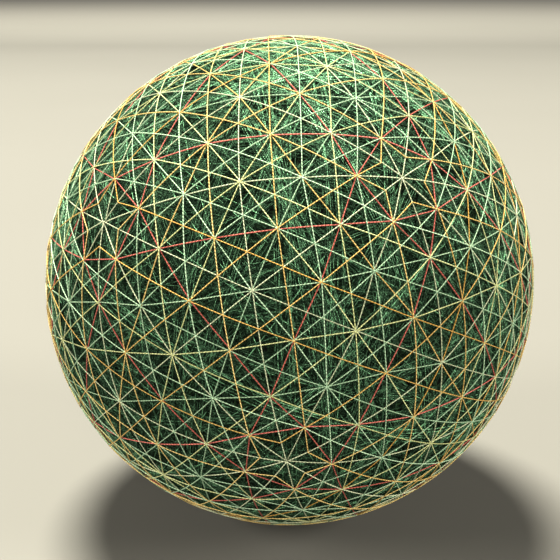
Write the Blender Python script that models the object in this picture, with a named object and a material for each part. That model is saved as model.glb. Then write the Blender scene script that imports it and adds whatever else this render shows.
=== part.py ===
"""Temari ball: a thread ball with a raised net of stitched threads and a small flat spot to rest on.

Lengths are in metres and +Z is up. The origin is the middle of the flat spot, on the surface under the ball.
The net is a twenty-sided one whose edges are stitched in six steps, so every crossing but twelve has six
neighbours. The front of the ball faces -Y.
"""

from math import radians

import bmesh
import bpy
from mathutils import Matrix, Vector

# Over the stitched threads
BALL_DIAMETER = 0.090
# From the wound ground to the top of the threads, which cross two or more deep
THREAD_RISE = 0.0005
# A thread's ridge at its foot
RIDGE_WIDTH = 0.0010
# How far the resting ball is pressed flat
FLAT_DEPTH = 0.00078
# Stitches along each edge of the twenty-sided net
NET_STEPS = 6
# The way the net lies: where its pole leans to, how far, and its turn about the pole
POLE_AZIMUTH = radians(155.0)
POLE_TILT = radians(10.0)
NET_SPIN = radians(2.1)

GREEN_THREAD = (0.035, 0.105, 0.055, 1.0)
THREAD_ROUGHNESS = 0.75
RIDGE_EDGE_ANGLE = radians(35.0)

BALL_RADIUS = BALL_DIAMETER / 2
GROUND_RADIUS = BALL_RADIUS - THREAD_RISE
CENTRE = Vector((0.0, 0.0, BALL_RADIUS - FLAT_DEPTH))


def remove_all_objects():
    for old in list(bpy.data.objects):
        bpy.data.objects.remove(old, do_unlink=True)


def new_collection(name):
    collection = bpy.data.collections.new(name)
    bpy.context.scene.collection.children.link(collection)
    return collection


def thread_material(name, colour):
    material = bpy.data.materials.new(name)
    material.use_nodes = True
    shader = material.node_tree.nodes["Principled BSDF"]
    shader.inputs["Base Color"].default_value = colour
    shader.inputs["Roughness"].default_value = THREAD_ROUGHNESS
    shader.inputs["Metallic"].default_value = 0.0
    return material


def object_from(bm, name, collection):
    mesh = bpy.data.meshes.new(name)
    bm.to_mesh(mesh)
    bm.free()
    made = bpy.data.objects.new(name, mesh)
    collection.objects.link(made)
    return made


def push_to_sphere(verts, radius):
    for vert in verts:
        vert.co = vert.co.normalized() * radius


def net_turn():
    """Turns the net from its pole upright to the way it lies on the resting ball."""
    lean = Matrix.Rotation(POLE_TILT, 4, "Y")
    return Matrix.Rotation(POLE_AZIMUTH, 4, "Z") @ lean @ Matrix.Rotation(NET_SPIN, 4, "Z")


def stitched_sphere():
    """The net's crossings on the ball, joined by flat three-sided fields."""
    bm = bmesh.new()
    bmesh.ops.create_icosphere(bm, subdivisions=1, radius=1.0)
    bmesh.ops.subdivide_edges(bm, edges=bm.edges[:], cuts=NET_STEPS - 1, use_grid_fill=True)
    push_to_sphere(bm.verts, BALL_RADIUS)
    return bm


def sink_fields(bm):
    """Lowers each field to the wound ground and domes it, which leaves the threads as ridges."""
    crossings = set(bm.verts)
    threads = bm.edges[:]
    fields = bm.faces[:]
    bmesh.ops.inset_individual(bm, faces=fields, thickness=RIDGE_WIDTH / 2, use_even_offset=True)
    bmesh.ops.poke(bm, faces=fields)
    push_to_sphere([vert for vert in bm.verts if vert not in crossings], GROUND_RADIUS)
    halved = bmesh.ops.subdivide_edges(bm, edges=threads, cuts=1)
    middles = [part for part in halved["geom_inner"] if isinstance(part, bmesh.types.BMVert)]
    push_to_sphere(middles, BALL_RADIUS)


def make_ball(collection):
    bm = stitched_sphere()
    sink_fields(bm)
    bmesh.ops.triangulate(bm, faces=bm.faces[:])
    bmesh.ops.transform(bm, matrix=net_turn(), verts=bm.verts)
    bmesh.ops.recalc_face_normals(bm, faces=bm.faces[:])
    ball = object_from(bm, "ball", collection)
    ball.location = CENTRE
    ball.data.materials.append(thread_material("ground_thread", GREEN_THREAD))
    ball.data.shade_smooth()
    ball.data.set_sharp_from_angle(angle=RIDGE_EDGE_ANGLE)
    return ball


def make_floor_cutter(collection):
    """A block whose top is the surface that the ball rests on."""
    bm = bmesh.new()
    bmesh.ops.create_cube(bm, size=BALL_DIAMETER)
    bmesh.ops.translate(bm, vec=(0.0, 0.0, -BALL_RADIUS), verts=bm.verts)
    cutter = object_from(bm, "floor_cutter", collection)
    cutter.hide_render = True
    cutter.display_type = "WIRE"
    return cutter


def cut_flat_spot(ball, cutter):
    cut = ball.modifiers.new("flat_spot", "BOOLEAN")
    cut.operation = "DIFFERENCE"
    cut.solver = "EXACT"
    cut.object = cutter


def main():
    remove_all_objects()
    ball = make_ball(new_collection("temari_ball"))
    cut_flat_spot(ball, make_floor_cutter(new_collection("cutters")))


main()
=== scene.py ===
"""Looks of the temari ball: a wound green thread ball under a stitched net of coloured threads.

Lengths are in metres in the frame's axes: +Z up, the origin under the flat spot, the camera on the -Y side.
"""
from itertools import combinations
from math import cos, pi, radians, sin, sqrt
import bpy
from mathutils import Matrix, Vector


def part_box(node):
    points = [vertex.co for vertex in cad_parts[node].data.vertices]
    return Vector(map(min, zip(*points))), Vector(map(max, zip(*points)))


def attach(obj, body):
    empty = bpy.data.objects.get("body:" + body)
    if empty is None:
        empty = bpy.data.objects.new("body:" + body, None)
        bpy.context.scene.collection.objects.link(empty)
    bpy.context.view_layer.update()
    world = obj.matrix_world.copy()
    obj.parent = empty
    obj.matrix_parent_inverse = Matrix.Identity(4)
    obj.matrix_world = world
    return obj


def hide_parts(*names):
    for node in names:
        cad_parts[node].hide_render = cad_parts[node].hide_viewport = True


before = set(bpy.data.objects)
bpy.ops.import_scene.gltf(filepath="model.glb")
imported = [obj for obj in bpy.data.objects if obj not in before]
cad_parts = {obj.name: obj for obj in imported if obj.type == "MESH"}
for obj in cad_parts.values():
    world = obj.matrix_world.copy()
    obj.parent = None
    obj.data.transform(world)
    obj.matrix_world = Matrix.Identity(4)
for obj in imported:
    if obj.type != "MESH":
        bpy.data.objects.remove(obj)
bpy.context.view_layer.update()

from types import SimpleNamespace

import bpy
import numpy as np
from mathutils import Matrix, Vector

LOW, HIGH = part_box("ball")
BALL_RADIUS = (HIGH.x - LOW.x) / 2
CENTRE = np.array([0.0, 0.0, HIGH.z - BALL_RADIUS])

# The net, as it lies on the resting ball
NET_STEPS = 6
POLE_AZIMUTH = radians(155.0)
POLE_TILT = radians(10.0)
NET_SPIN = radians(2.1)
# How far off its place a hand pins a crossing, as a share of the ball's radius
HAND_SLIP = 0.0044
# The five-fold points whose rings are gold and not mint
GOLD_POLES = {1, 2, 4, 5, 9, 10}
# Five-fold points whose directions have a larger cosine than this are neighbours
NEIGHBOUR_COSINE = 0.4

# The stitched threads
THREAD_WIDTH = 0.000195
THREAD_STEP = 0.0011
THREAD_SIDES = 6
FEWEST_STEPS = 4
# How far off a crossing each thread passes, and how far each lies over or under its height
CROSSING_SLIP = 0.00007
THREAD_LIFT = 0.000012
# The first place in the order of stitching whose threads lie over the net's own
SECOND_ORDER = 4
# How high over the ground a thread runs, at its crossings and between them, and what each later place adds
FIRST_RISES = ((0.00014, 0.00006), (0.00013, 0.0))
SECOND_RISES = ((0.00034, 0.000035), (0.00032, 0.00003))
# How steeply a thread climbs at a crossing
CLIMB = 4

# The wound ground under the stitches
PILE = 0.00060
GROUND_RADIUS = BALL_RADIUS - PILE
STRAND_WIDTH = 0.00019
STRAND_STEP = 0.0050
STRAND_SIDES = 3
# How far the innermost turns and the core lie under the outermost turns
STRAND_DEPTH = 0.00040
CORE_DEPTH = 0.00046
CORE_SUBDIVISIONS = 6
# How the turns are shared out: bands and single stray turns in each piece, and turns in each band
WINDING_PIECES = 3
BANDS_PER_PIECE = 43
STRAYS_PER_PIECE = 30
BAND_TURNS = 12
# As shares of the ground's radius: the step from turn to turn, a band's shift, and its sways, each as the
# number of waves round the ball and their height
BAND_SPACING = 0.0049
BAND_SHIFT = 0.02
BAND_SWAYS = ((2, 0.010), (5, 0.004))
# How far single turns stray from their band: their tilt, shift and sway, and how deep they lie
TURN_TILT = 0.004
TURN_SHIFT = 0.0012
TURN_SWAY = 0.0015
TURN_WAVES = (5, 12)
TURN_DEPTH = 0.08
PHASES = (0, 6)
# A direction that is used only to find two others square to a band's axis
SLANT = (0.3, 0.5, 0.8)
# How light a band is against the next, the darkest turn in a band, and how much darker the deepest turns are
# painted, as painted shade under the outer turns
BAND_SHINE = (0.35, 1.3)
DARKEST_TURN = 0.03
DEPTH_SHADE = 0.9
GOLDEN_ANGLE = pi * (3 - sqrt(5))

# How far over the floor each layer stays where the ball is pressed flat
UPPER_CLEARANCE = 0.5 * THREAD_WIDTH
LOWER_CLEARANCE = 1.4 * THREAD_WIDTH
WINDING_CLEARANCE = 2.4 * THREAD_WIDTH
CORE_CLEARANCE = 3.2 * THREAD_WIDTH

# The soft ball's lumps: their height as a share of the radius, and slow waves of a direction and a phase each
LUMP = 0.0032
LUMP_WAVES = ((3.1, 0.4, 1.3, 0.2), (-1.2, 2.9, 0.8, 1.9), (0.7, -1.6, 3.4, 4.0), (4.6, 3.9, -1.5, 2.7))

# The baked pictures' layout: rows of thread, each with a margin of its height to either side
MOST_BAKE_ROWS = 256
ROW_MARGIN = 0.12

# Each family of threads: its record slot, its place in the order of stitching, its width against the usual
FAMILIES = {
    "cream_edges": ("cream_thread", 0, 1.0),
    "coral_pentagons": ("coral_thread", 1, 1.08),
    "gold_rings": ("gold_thread", 2, 1.0),
    "mint_rings": ("mint_thread", 2, 1.0),
    "straw_equators": ("straw_thread", 3, 1.0),
    "cream_medians": ("cream_thread", 4, 0.95),
    "straw_stars": ("straw_thread", 5, 0.95),
    "mint_stars": ("mint_thread", 6, 0.95),
    "gold_bent": ("gold_thread", 7, 0.95),
}
# The closed families of each order, each with how far a loop's middle lies from the ball's at most
LOOPS = {
    1: ((0.09, "straw_equators"), (0.26, "rings"), (1.0, "coral_pentagons")),
    2: ((0.05, "straw_stars"), (0.24, "mint_stars"), (1.0, "gold_bent")),
}

# Linear colours of each thread, from its darkest length to its lightest
COLOURS = {
    "cream_thread": ((0.49, 0.53, 0.38), (0.72, 0.77, 0.57)),
    "straw_thread": ((0.51, 0.53, 0.27), (0.74, 0.77, 0.45)),
    "gold_thread": ((0.61, 0.37, 0.11), (0.81, 0.66, 0.33)),
    "coral_thread": ((0.49, 0.145, 0.120), (0.74, 0.25, 0.22)),
    "mint_thread": ((0.35, 0.50, 0.35), (0.58, 0.77, 0.57)),
}
WINDING_COLOURS = ((0.0030, 0.006, 0.003), (0.460, 0.920, 0.570))
WINDING_TINT = (0.50, 1.0, 0.62)
# The core's colours: the inner turns' green darkened to near-black, as painted shade in the gaps
CORE_SHADE_COLOURS = ((0.001, 0.002, 0.001), (0.030, 0.070, 0.028))
# The finish of glossy embroidery thread and of fine sewing thread. The pitch is half a turn of the twist, the
# groove value is how much of the darkest colour is left between plies as painted shade, the bead share is how
# much of that painted shade lies between the beads along the thread, and blotches vary a thread along its
# length
STITCHED = SimpleNamespace(
    pitch=0.00056,
    painted_groove_shade=0.22,
    bead_shade_share=0.5,
    blotch_scale=260.0,
    blotch_contrast=2.0,
    least_blotch=0.6,
    metallic=0.0,
    roughness=0.45,
    specular=0.35,
    bump=0.00004,
)
WOUND = SimpleNamespace(
    pitch=0.00042,
    painted_groove_shade=0.5,
    bead_shade_share=0.25,
    blotch_scale=900.0,
    blotch_contrast=5.0,
    least_blotch=0.06,
    metallic=0.5,
    roughness=0.47,
    specular=0.2,
    bump=0.00003,
)
THREAD_IOR = 1.5
# How soft the edge of the painted shade in a groove is
GROOVE_SHADE_EDGE = 0.9
SHEEN = 0.05
SHEEN_ROUGHNESS = 0.35
# The core's fibres: their noise, the two ways that it is drawn out, how it is sharpened, and their finish
CORE_GRAIN = 2600.0
CORE_STRETCHES = ((0.15, 1.0, 1.0), (1.0, 1.0, 0.15))
CORE_CONTRAST = (4.0, -2.0)
CORE_ROUGHNESS = 0.8
CORE_SPECULAR = 0.1
CORE_BUMP = 0.0001

# The camera, from the ball's outline in the photo's 560-pixel frame. Its distance is in radii of the ball
IMAGE_SIZE = 560
OUTLINE_CENTRE = (289.1, 280.4)
OUTLINE_RADIUS = 245.2
CAMERA_ELEVATION = radians(16.0)
CAMERA_DISTANCE = 4.37
SENSOR_WIDTH = 36.0
CLIP_START = 0.01
CLIP_END = 20.0

# The floor is mottled between two tones near the ball. Behind the ball it is painted lighter, from FADE_START
# to
# FADE_END, as painted light where the lamps' light falls off, to look even past the lights
FLOOR_SIZE = 60.0
FLOOR_TONES = ((0.128, 0.125, 0.118), (0.142, 0.139, 0.132))
FLOOR_MOTTLE = 3.0
FAR_PAINTED_LIGHT = (0.80, 0.78, 0.74)
FADE_START = 1.5
FADE_END = 6.0
FLOOR_ROUGHNESS = 0.8

# Each light's place, size, power and colour
LIGHTS = {
    "top_light": ((-0.40, 0.75, 3.1), 1.0, 410.0, (1.0, 0.97, 0.83)),
    "left_light": ((-2.6, -0.9, 1.3), 1.2, 85.0, (1.0, 0.96, 0.83)),
    "right_light": ((2.6, -0.9, 1.3), 1.2, 85.0, (1.0, 0.96, 0.83)),
    "front_light": ((0.25, -2.8, 1.0), 1.2, 72.0, (1.0, 0.96, 0.83)),
}
ROOM_COLOUR = (1.0, 0.98, 0.95)
ROOM_LIGHT = 0.10
EXPOSURE = 0.1
GAMMA = 0.85

rng = np.random.default_rng(41)
net_rng = np.random.default_rng(7)


def unit(v):
    return v / np.linalg.norm(v, axis=-1, keepdims=True)


def net_turn():
    lean = Matrix.Rotation(POLE_TILT, 3, "Y")
    turn = Matrix.Rotation(POLE_AZIMUTH, 3, "Z") @ lean @ Matrix.Rotation(NET_SPIN, 3, "Z")
    return np.array(turn)


def corner_points():
    """The twelve five-fold points: a pole, a ring above the middle, a ring below it and the other pole."""
    reach, height = 2 / sqrt(5), 1 / sqrt(5)
    upper = [(reach * cos(a), reach * sin(a), height) for a in radians(72) * np.arange(5)]
    lower = [(reach * cos(a), reach * sin(a), -height) for a in radians(36) + radians(72) * np.arange(5)]
    return np.array([(0, 0, 1), *upper, *lower, (0, 0, -1)]) @ net_turn().T


def net_nodes(corners):
    """The net's crossings, and for each one its neighbours in order round it."""
    near = corners @ corners.T > NEIGHBOUR_COSINE
    faces = [f for f in combinations(range(12), 3) if all(near[i, j] for i, j in combinations(f, 2))]
    places, points, links = {}, [], set()

    def node(face, *weights):
        key = tuple((c, w) for c, w in zip(face, weights) if w)
        if key not in places:
            places[key] = len(points)
            points.append(unit(sum(w * corners[c] for c, w in key)))
        return places[key]

    for face in faces:
        for a in range(NET_STEPS + 1):
            for b in range(NET_STEPS + 1 - a):
                c = NET_STEPS - a - b
                here = node(face, a, b, c)
                if a:
                    links.add(frozenset((here, node(face, a - 1, b + 1, c))))
                    links.add(frozenset((here, node(face, a - 1, b, c + 1))))
                if b:
                    links.add(frozenset((here, node(face, a, b - 1, c + 1))))
    points = np.array(points)
    rings = [[] for _ in points]
    for a, b in links:
        rings[a].append(b)
        rings[b].append(a)
    for here, ring in enumerate(rings):
        out = points[here]
        ring.sort()
        first = unit(np.cross(out, points[ring[0]]))
        second = np.cross(out, first)
        ring.sort(key=lambda n: np.arctan2(points[n] @ second, points[n] @ first))
    return points, rings


def slipped(points):
    """The crossings as a hand pins them, a little off their places."""
    return unit(points + net_rng.normal(0, HAND_SLIP, points.shape))


def sector(ring, one, other):
    """Where in a ring two neighbours stand side by side."""
    i, j = ring.index(one), ring.index(other)
    return i if (i + 1) % len(ring) == j else j


def along_edge(points, rings, here, k):
    """The thread from a crossing to its neighbour k: its next stop, the way back there, and no bends."""
    other = rings[here][k]
    return other, rings[other].index(here), []


def across_fields(points, rings, here, k):
    """The thread that leaves a crossing between its neighbours k and k + 1, bent beside a five-fold point."""
    ring = rings[here]
    left, right = ring[k], ring[(k + 1) % len(ring)]
    five = [n for n in (left, right) if len(rings[n]) == 5]
    if five:
        other = left if right == five[0] else right
        bend = unit(points[here] + points[left] + points[right])
        return other, sector(rings[other], here, five[0]), [bend]
    (other,) = set(rings[left]) & set(rings[right]) - {here}
    return other, sector(rings[other], left, right), []


def follow(points, rings, step):
    """Every thread of one order, straight on through each crossing, as its stops and whether it closes."""
    starts = [(n, k) for n, ring in enumerate(rings) for k in range(len(ring))]
    starts.sort(key=lambda place: len(rings[place[0]]))
    used, runs = set(), []
    for start in starts:
        if start in used:
            continue
        stops, heading, closed = [points[start[0]]], start, False
        while True:
            other, back, bends = step(points, rings, *heading)
            used.update((heading, (other, back)))
            stops += bends
            if len(rings[other]) == 5:
                stops.append(points[other])
                break
            heading = (other, (back + 3) % 6)
            if heading == start:
                closed = True
                break
            stops.append(points[other])
        runs.append((np.array(stops), closed))
    return runs


def family(stops, closed, order, corners):
    """A thread's family, from how far its loop lies to one side of the ball's middle."""
    if not closed:
        return "cream_edges" if order == 1 else "cream_medians"
    middle = stops.mean(axis=0)
    aside = np.linalg.norm(middle)
    name = next(name for most, name in LOOPS[order] if aside < most)
    if name != "rings":
        return name
    return "gold_rings" if int(np.argmax(corners @ middle)) in GOLD_POLES else "mint_rings"


def lump(d):
    """How far the soft ball swells or sinks in each direction, as a share of its radius."""
    return LUMP * sum(np.sin(d @ np.array(w[:3]) + w[3]) for w in LUMP_WAVES) / len(LUMP_WAVES)


def on_ball(d, rise, clearance):
    """Points over the ground by rise, with the bottom of the ball pressed flat, clear of the floor."""
    points = CENTRE + d * ((GROUND_RADIUS + rise) * (1 + lump(d)))[:, None]
    points[:, 2] = np.maximum(points[:, 2], clearance)
    return points


def rises(rank):
    """How high over the ground a thread's middle runs, at its crossings and between them."""
    if rank < SECOND_ORDER:
        return [height + added * rank for height, added in FIRST_RISES]
    return [height + added * (rank - SECOND_ORDER) for height, added in SECOND_RISES]


def laid_thread(stops, closed, rank):
    """The middle line of one stitched thread."""
    at_stop, between = rises(rank)
    stops = unit(stops + net_rng.normal(0, CROSSING_SLIP / BALL_RADIUS, stops.shape))
    ends = np.roll(stops, -1, axis=0) if closed else stops[1:]
    d, rise = [], []
    for p, q in zip(stops, ends):
        angle = np.arccos(np.clip(p @ q, -1, 1))
        steps = max(FEWEST_STEPS, round(angle * BALL_RADIUS / THREAD_STEP))
        t = np.arange(steps) / steps
        d.append((np.sin((1 - t) * angle)[:, None] * p + np.sin(t * angle)[:, None] * q) / sin(angle))
        rise.append(between + (at_stop - between) * np.cos(pi * t) ** CLIMB)
    if not closed:
        d.append(stops[-1:])
        rise.append(np.array([at_stop]))
    d, rise = np.concatenate(d), np.concatenate(rise)
    clearance = LOWER_CLEARANCE if rank < SECOND_ORDER else UPPER_CLEARANCE
    return on_ball(unit(d), rise + net_rng.normal(0, THREAD_LIFT), clearance)


def even_axes(count):
    """Directions spread evenly over half of a ball, in a shuffled order."""
    i = (np.arange(count) + 0.5) / count
    a = GOLDEN_ANGLE * np.arange(count)
    reach = np.sqrt(1 - i * i)
    return rng.permutation(np.stack([reach * np.cos(a), reach * np.sin(a), i], axis=1))


def wound_turns(axis, turns, level):
    """One band of neighbouring turns of the winding, each with a random tone, darker with depth as painted
    shade. Level 0 is outermost, 1 deepest.
    """
    shift, swing, shine = rng.normal(0, BAND_SHIFT), rng.uniform(*PHASES, 2), rng.uniform(*BAND_SHINE)
    for turn in range(turns):
        tilt = unit(axis + rng.normal(0, TURN_TILT, 3))
        one = unit(np.cross(tilt, SLANT))
        two = np.cross(tilt, one)
        aside = shift + BAND_SPACING * (turn - turns / 2) + rng.normal(0, TURN_SHIFT)
        steps = round(2 * pi * GROUND_RADIUS * sqrt(1 - aside * aside) / STRAND_STEP)
        a = (np.arange(steps) + rng.uniform(0, 1)) * 2 * pi / steps
        sway = sum(size * np.sin(waves * a + start) for (waves, size), start in zip(BAND_SWAYS, swing))
        sway = aside + sway + TURN_SWAY * np.sin(rng.integers(*TURN_WAVES) * a + rng.uniform(*PHASES))
        reach = np.sqrt(1 - sway ** 2)[:, None]
        d = sway[:, None] * tilt + reach * (np.cos(a)[:, None] * one + np.sin(a)[:, None] * two)
        depth = min(1.0, max(0.0, level + rng.normal(0, TURN_DEPTH)))
        rise = np.full(steps, -depth * STRAND_DEPTH - STRAND_WIDTH / 2)
        line = on_ball(unit(d), rise, WINDING_CLEARANCE + depth * STRAND_DEPTH)
        # The tone is random and is darkened for deeper turns as painted shade
        yield line, True, (1 - DEPTH_SHADE * depth) * shine * rng.uniform(DARKEST_TURN, 1)


def tube_arrays(line, closed, radius, sides):
    """One thread as rings of points round its middle line.

    Gives the points, the corners of the faces, and how far round and along the thread each corner lies.
    """
    count = len(line)
    ahead = np.roll(line, -1, axis=0) - np.roll(line, 1, axis=0)
    if not closed:
        ahead[0], ahead[-1] = line[1] - line[0], line[-1] - line[-2]
    ahead = unit(ahead)
    out = line - CENTRE
    out = unit(out - (out * ahead).sum(axis=1, keepdims=True) * ahead)
    side = np.cross(ahead, out)
    a = np.arange(sides) * 2 * pi / sides
    rim = np.cos(a)[None, :, None] * out[:, None] + np.sin(a)[None, :, None] * side[:, None]
    points = (line[:, None] + radius * rim).reshape(-1, 3)
    i, j = np.meshgrid(np.arange(count if closed else count - 1), np.arange(sides), indexing="ij")
    i, j = i.ravel(), j.ravel()
    i2, j2 = (i + 1) % count, (j + 1) % sides
    corners = np.stack([i * sides + j, i * sides + j2, i2 * sides + j2, i2 * sides + j], axis=1)
    lengths = np.linalg.norm(np.roll(line, -1, axis=0) - line, axis=1)
    reach = np.concatenate([[0.0], np.cumsum(lengths)])
    u = np.stack([j, j + 1, j + 1, j], axis=1) / sides
    v = np.stack([reach[i], reach[i], reach[i + 1], reach[i + 1]], axis=1)
    return points, corners, np.stack([u, v], axis=2)


def bake_map(places, sides, radius):
    """Lays the tubes' faces out in rows, with the thread's length to the right and its way round upwards."""
    faces = len(places) // 4
    lengths = faces // sides
    around = places[:, 0].reshape(lengths, sides, 4)
    along = places[:, 1].reshape(faces, 4)
    mean_length = np.abs(along[:, 3] - along[:, 0]).mean()
    rows = min(MOST_BAKE_ROWS, round(sqrt(lengths * mean_length / (2 * pi * radius))))
    per_row = -(-lengths // rows)
    row, column = np.divmod(np.arange(lengths), per_row)
    u = (column[:, None, None] + np.array([0, 0, 1, 1])[None, None, :]) / per_row
    v = (row[:, None, None] + ROW_MARGIN + (1 - 2 * ROW_MARGIN) * around) / rows
    return np.stack([np.broadcast_to(u, v.shape), v], axis=3).reshape(-1, 2)


def add_map(mesh, name, places):
    """Adds a map of the tubes' faces. The flat ends of open threads come last and have no place in it."""
    both = np.zeros((len(mesh.loops), 2), np.float32)
    both[:len(places)] = places
    mesh.uv_layers.new(name=name).uv.foreach_set("vector", both.ravel())


def thread_piece(name, lines, radius, sides, material):
    """Joins many threads into one mesh, each with its own tone."""
    points, corners, places, tones, ends = [], [], [], [], []
    start = 0
    for line, closed, tone in lines:
        p, c, uv = tube_arrays(line, closed, radius, sides)
        uv[..., 1] += rng.uniform(0, 1) * STITCHED.pitch
        points.append(p)
        corners.append(c + start)
        places.append(uv)
        tones.append(np.full(len(p), tone))
        if not closed:
            ends.append(start + np.arange(sides)[::-1])
            ends.append(start + len(p) - sides + np.arange(sides))
        start += len(p)
    points, corners = np.concatenate(points), np.concatenate(corners)
    places = np.concatenate(places).reshape(-1, 2)
    ends = np.array(ends, dtype=int).reshape(-1, sides)
    indices = np.concatenate([corners.ravel(), ends.ravel()])
    totals = np.concatenate([np.full(len(corners), 4), np.full(len(ends), sides)])
    mesh = bpy.data.meshes.new(name)
    mesh.vertices.add(len(points))
    mesh.vertices.foreach_set("co", points.astype(np.float32).ravel())
    mesh.loops.add(len(indices))
    mesh.loops.foreach_set("vertex_index", indices.astype(np.int32))
    mesh.polygons.add(len(totals))
    mesh.polygons.foreach_set("loop_start", (np.cumsum(totals) - totals).astype(np.int32))
    mesh.update(calc_edges=True)
    mesh.shade_smooth()
    add_map(mesh, "ply", places)
    add_map(mesh, "OFBake", bake_map(places, sides, radius))
    tone = mesh.attributes.new("tone", "FLOAT", "POINT")
    tone.data.foreach_set("value", np.concatenate(tones).astype(np.float32))
    mesh.materials.append(material)
    piece = bpy.data.objects.new(name, mesh)
    bpy.context.scene.collection.objects.link(piece)
    return piece


class Nodes:
    """A short way to write a material's node tree."""

    def __init__(self, name):
        self.material = bpy.data.materials.new(name)
        self.material.use_nodes = True
        self.tree = self.material.node_tree
        self.shader = self.tree.nodes["Principled BSDF"]

    def feed(self, socket, value):
        if isinstance(value, bpy.types.NodeSocket):
            self.tree.links.new(value, socket)
        else:
            socket.default_value = value

    def new(self, kind, **inputs):
        """A new node with its inputs set or linked by their names."""
        node = self.tree.nodes.new("ShaderNode" + kind)
        for name, value in inputs.items():
            self.feed(node.inputs[name], value)
        return node

    def maths(self, operation, *values):
        node = self.new("Math")
        node.operation = operation
        for socket, value in zip(node.inputs, values):
            self.feed(socket, value)
        return node.outputs[0]

    def scaled(self, value, factor, added):
        """The value times the factor plus what is added, kept between 0 and 1."""
        result = self.maths("MULTIPLY_ADD", value, factor, added)
        result.node.use_clamp = True
        return result

    def noise(self, place, scale):
        return self.new("TexNoise", Vector=place, Scale=scale).outputs["Fac"]

    def place(self):
        return self.new("TexCoord").outputs["Object"]

    def mix(self, factor, one, two):
        node = self.new("Mix")
        node.data_type = "RGBA"
        self.feed(node.inputs["Factor"], factor)
        self.feed(node.inputs["A"], one)
        self.feed(node.inputs["B"], two)
        return node.outputs["Result"]

    def finish(self, **settings):
        """Sets or links the shader's inputs, named with _ for each space."""
        for name, value in settings.items():
            self.feed(self.shader.inputs[name.replace("_", " ")], value)
        return self.material

    def bump(self, height, distance):
        return self.new("Bump", Height=height, Distance=distance).outputs[0]


def opaque(colour):
    return (*colour, 1.0)


def ply_marks(n, pitch):
    """Two marks of a twisted thread, its plies' crowns and where they lie side by side, and the way along."""
    uv = n.new("UVMap")
    uv.uv_map = "ply"
    split = n.new("SeparateXYZ", Vector=uv.outputs[0])
    along = n.maths("MULTIPLY", split.outputs[1], pi / pitch)
    turn = n.maths("ADD", n.maths("MULTIPLY", split.outputs[0], 2 * pi), along)
    crown = n.maths("ABSOLUTE", n.maths("COSINE", turn))
    bead = n.maths("ABSOLUTE", n.maths("COSINE", along))
    return crown, bead, split.outputs[1]


def shortfall(n, mark, most):
    """How far a mark falls short: the most where it is 0, and nothing where it is 1."""
    return n.maths("SUBTRACT", most, n.maths("MULTIPLY", mark, most))


def thread_material(name, dark, light, tint, kind):
    """Two-ply thread: the plies wind round it as soft ridges, with painted shade darkening the grooves
    between them and the gaps between the beads.
    """
    n = Nodes(name)
    crown, bead, along = ply_marks(n, kind.pitch)
    tone = n.new("Attribute")
    tone.attribute_name = "tone"
    own_place = n.new("CombineXYZ", X=along, Y=tone.outputs["Fac"]).outputs[0]
    contrast = kind.blotch_contrast
    blotch = n.scaled(n.noise(own_place, kind.blotch_scale), contrast, 0.5 - contrast / 2)
    shown = n.maths("MULTIPLY_ADD", blotch, 1 - kind.least_blotch, kind.least_blotch)
    body = n.mix(n.maths("MULTIPLY", tone.outputs["Fac"], shown), opaque(dark), opaque(light))
    # Painted shade: the colour is darkened in the grooves between plies and between the beads
    painted_groove_shade = shortfall(n, n.maths("POWER", crown, GROOVE_SHADE_EDGE), 1 - kind.bead_shade_share)
    shaded = n.maths("ADD", painted_groove_shade, shortfall(n, bead, kind.bead_shade_share))
    return n.finish(
        Base_Color=n.mix(shaded, body, opaque(kind.painted_groove_shade * c for c in dark)),
        Metallic=kind.metallic,
        Roughness=kind.roughness,
        IOR=THREAD_IOR,
        Specular_IOR_Level=kind.specular,
        Specular_Tint=opaque(tint),
        Sheen_Weight=SHEEN,
        Sheen_Roughness=SHEEN_ROUGHNESS,
        Sheen_Tint=opaque(tint),
        Normal=n.bump(n.maths("ADD", crown, bead), kind.bump),
    )


def core_material():
    """The inner turns, seen only in the gaps between the outer ones, their green darkened to near-black as
    painted shade.
    """
    n = Nodes("ground_core_shaded")
    place = n.place()
    ways = [n.new("Mapping", Vector=place, Scale=stretch).outputs[0] for stretch in CORE_STRETCHES]
    streaks = [n.noise(way, CORE_GRAIN) for way in ways]
    fibre = n.scaled(n.maths("MAXIMUM", *streaks), *CORE_CONTRAST)
    return n.finish(
        Base_Color=n.mix(fibre, *(opaque(colour) for colour in CORE_SHADE_COLOURS)),
        Roughness=CORE_ROUGHNESS,
        Specular_IOR_Level=CORE_SPECULAR,
        Normal=n.bump(fibre, CORE_BUMP),
    )


def make_net():
    """The stitched threads, one piece for each family."""
    corners = corner_points()
    points, rings = net_nodes(corners)
    points = slipped(points)
    members = {name: [] for name in FAMILIES}
    for order, step in ((1, along_edge), (2, across_fields)):
        for stops, closed in follow(points, rings, step):
            members[family(stops, closed, order, corners)].append((stops, closed))
    materials = {}
    for slot, (dark, light) in COLOURS.items():
        materials[slot] = thread_material(slot, dark, light, light, STITCHED)
    for name, (slot, rank, width) in FAMILIES.items():
        lines = []
        for stops, closed in members[name]:
            lines.append((laid_thread(stops, closed, rank), closed, net_rng.uniform(0, 1)))
        piece = thread_piece(name, lines, width * THREAD_WIDTH / 2, THREAD_SIDES, materials[slot])
        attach(piece, "root")


def make_winding():
    """The fine green turns of the ground: bands from the outermost to the deepest, and single stray turns."""
    material = thread_material("ground_winding", *WINDING_COLOURS, WINDING_TINT, WOUND)
    bands = BANDS_PER_PIECE
    axes = even_axes(WINDING_PIECES * bands)
    strays = even_axes(WINDING_PIECES * STRAYS_PER_PIECE)
    for i in range(WINDING_PIECES):
        lines = []
        for band, axis in enumerate(axes[i::WINDING_PIECES]):
            lines += wound_turns(axis, BAND_TURNS, (band + rng.uniform(0, 1)) / bands)
        for axis in strays[i::WINDING_PIECES]:
            lines += wound_turns(axis, 1, 0.0)
        piece = thread_piece(f"ground_winding_{i + 1}", lines, STRAND_WIDTH / 2, STRAND_SIDES, material)
        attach(piece, "root")


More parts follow.
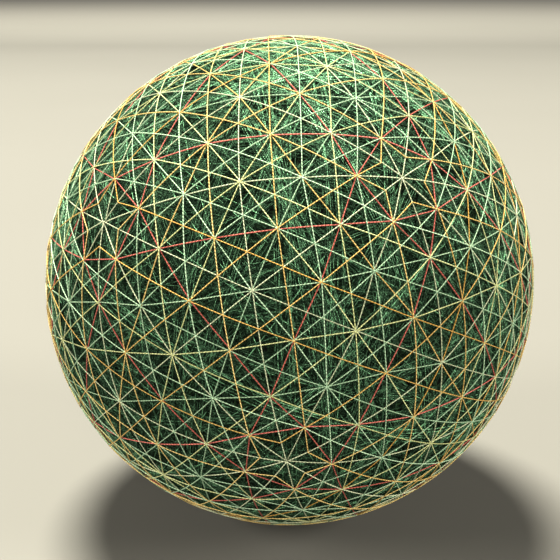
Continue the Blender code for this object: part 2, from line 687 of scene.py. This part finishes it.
def make_core():
    """The closely wound thread under the turns that show, which stands for the CAD ball."""
    bpy.ops.mesh.primitive_ico_sphere_add(subdivisions=CORE_SUBDIVISIONS, radius=1.0, location=(0, 0, 0))
    core = bpy.context.object
    core.name = "wound_core"
    mesh = core.data
    d = np.empty(len(mesh.vertices) * 3, np.float32)
    mesh.vertices.foreach_get("co", d)
    d = unit(d.reshape(-1, 3).astype(float))
    points = on_ball(d, np.full(len(d), -CORE_DEPTH), CORE_CLEARANCE)
    mesh.vertices.foreach_set("co", points.astype(np.float32).ravel())
    mesh.update()
    mesh.shade_smooth()
    mesh.materials.append(core_material())
    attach(core, "root")
    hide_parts("ball")


def make_camera():
    """Frames the ball's outline as it is in the photo."""
    focal = OUTLINE_RADIUS * sqrt(CAMERA_DISTANCE ** 2 - 1)
    toward = Vector((0, -cos(CAMERA_ELEVATION), sin(CAMERA_ELEVATION)))
    right = Vector((1, 0, 0))
    up = toward.cross(right)
    reach = CAMERA_DISTANCE * BALL_RADIUS
    aside = (OUTLINE_CENTRE[0] - IMAGE_SIZE / 2) * reach / focal
    below = (OUTLINE_CENTRE[1] - IMAGE_SIZE / 2) * reach / focal
    aim = Vector(CENTRE) - right * aside + up * below
    data = bpy.data.cameras.new("camera")
    data.sensor_width = SENSOR_WIDTH
    data.lens = data.sensor_width * focal / IMAGE_SIZE
    data.clip_start = CLIP_START
    data.clip_end = CLIP_END
    camera = bpy.data.objects.new("camera", data)
    camera.location = Vector(CENTRE) + toward * reach
    camera.rotation_euler = (aim - camera.location).to_track_quat("-Z", "Y").to_euler()
    bpy.context.scene.collection.objects.link(camera)
    bpy.context.scene.camera = camera


def area_light(name, place, size, power, colour):
    data = bpy.data.lights.new(name, "AREA")
    data.shape = "DISK"
    data.size = size
    data.energy = power
    data.color = colour
    light = bpy.data.objects.new(name, data)
    light.location = place
    light.rotation_euler = (Vector(CENTRE) - Vector(place)).to_track_quat("-Z", "Y").to_euler()
    bpy.context.scene.collection.objects.link(light)


def make_floor():
    bpy.ops.mesh.primitive_plane_add(size=FLOOR_SIZE, location=(0, 0, 0))
    floor = bpy.context.object
    floor.name = "floor"
    n = Nodes("floor_paper")
    place = n.place()
    behind = n.new("SeparateXYZ", Vector=place).outputs["Y"]
    near = n.mix(n.noise(place, FLOOR_MOTTLE), *(opaque(tone) for tone in FLOOR_TONES))
    fade = FADE_END - FADE_START
    # Painted light: the floor's colour grows lighter behind the ball, where the lamps' light falls off
    far = n.scaled(behind, 1 / fade, -FADE_START / fade)
    colour = n.mix(far, near, opaque(FAR_PAINTED_LIGHT))
    floor.data.materials.append(n.finish(Base_Color=colour, Roughness=FLOOR_ROUGHNESS))


def make_stage():
    make_floor()
    for name, (place, size, power, colour) in LIGHTS.items():
        area_light(name, place, size, power, colour)
    world = bpy.data.worlds.new("room")
    world.use_nodes = True
    background = world.node_tree.nodes["Background"]
    background.inputs["Color"].default_value = opaque(ROOM_COLOUR)
    background.inputs["Strength"].default_value = ROOM_LIGHT
    scene = bpy.context.scene
    scene.world = world
    scene.view_settings.view_transform = "Standard"
    scene.view_settings.exposure = EXPOSURE
    scene.view_settings.gamma = GAMMA


make_camera()
make_core()
make_winding()
make_net()
make_stage()
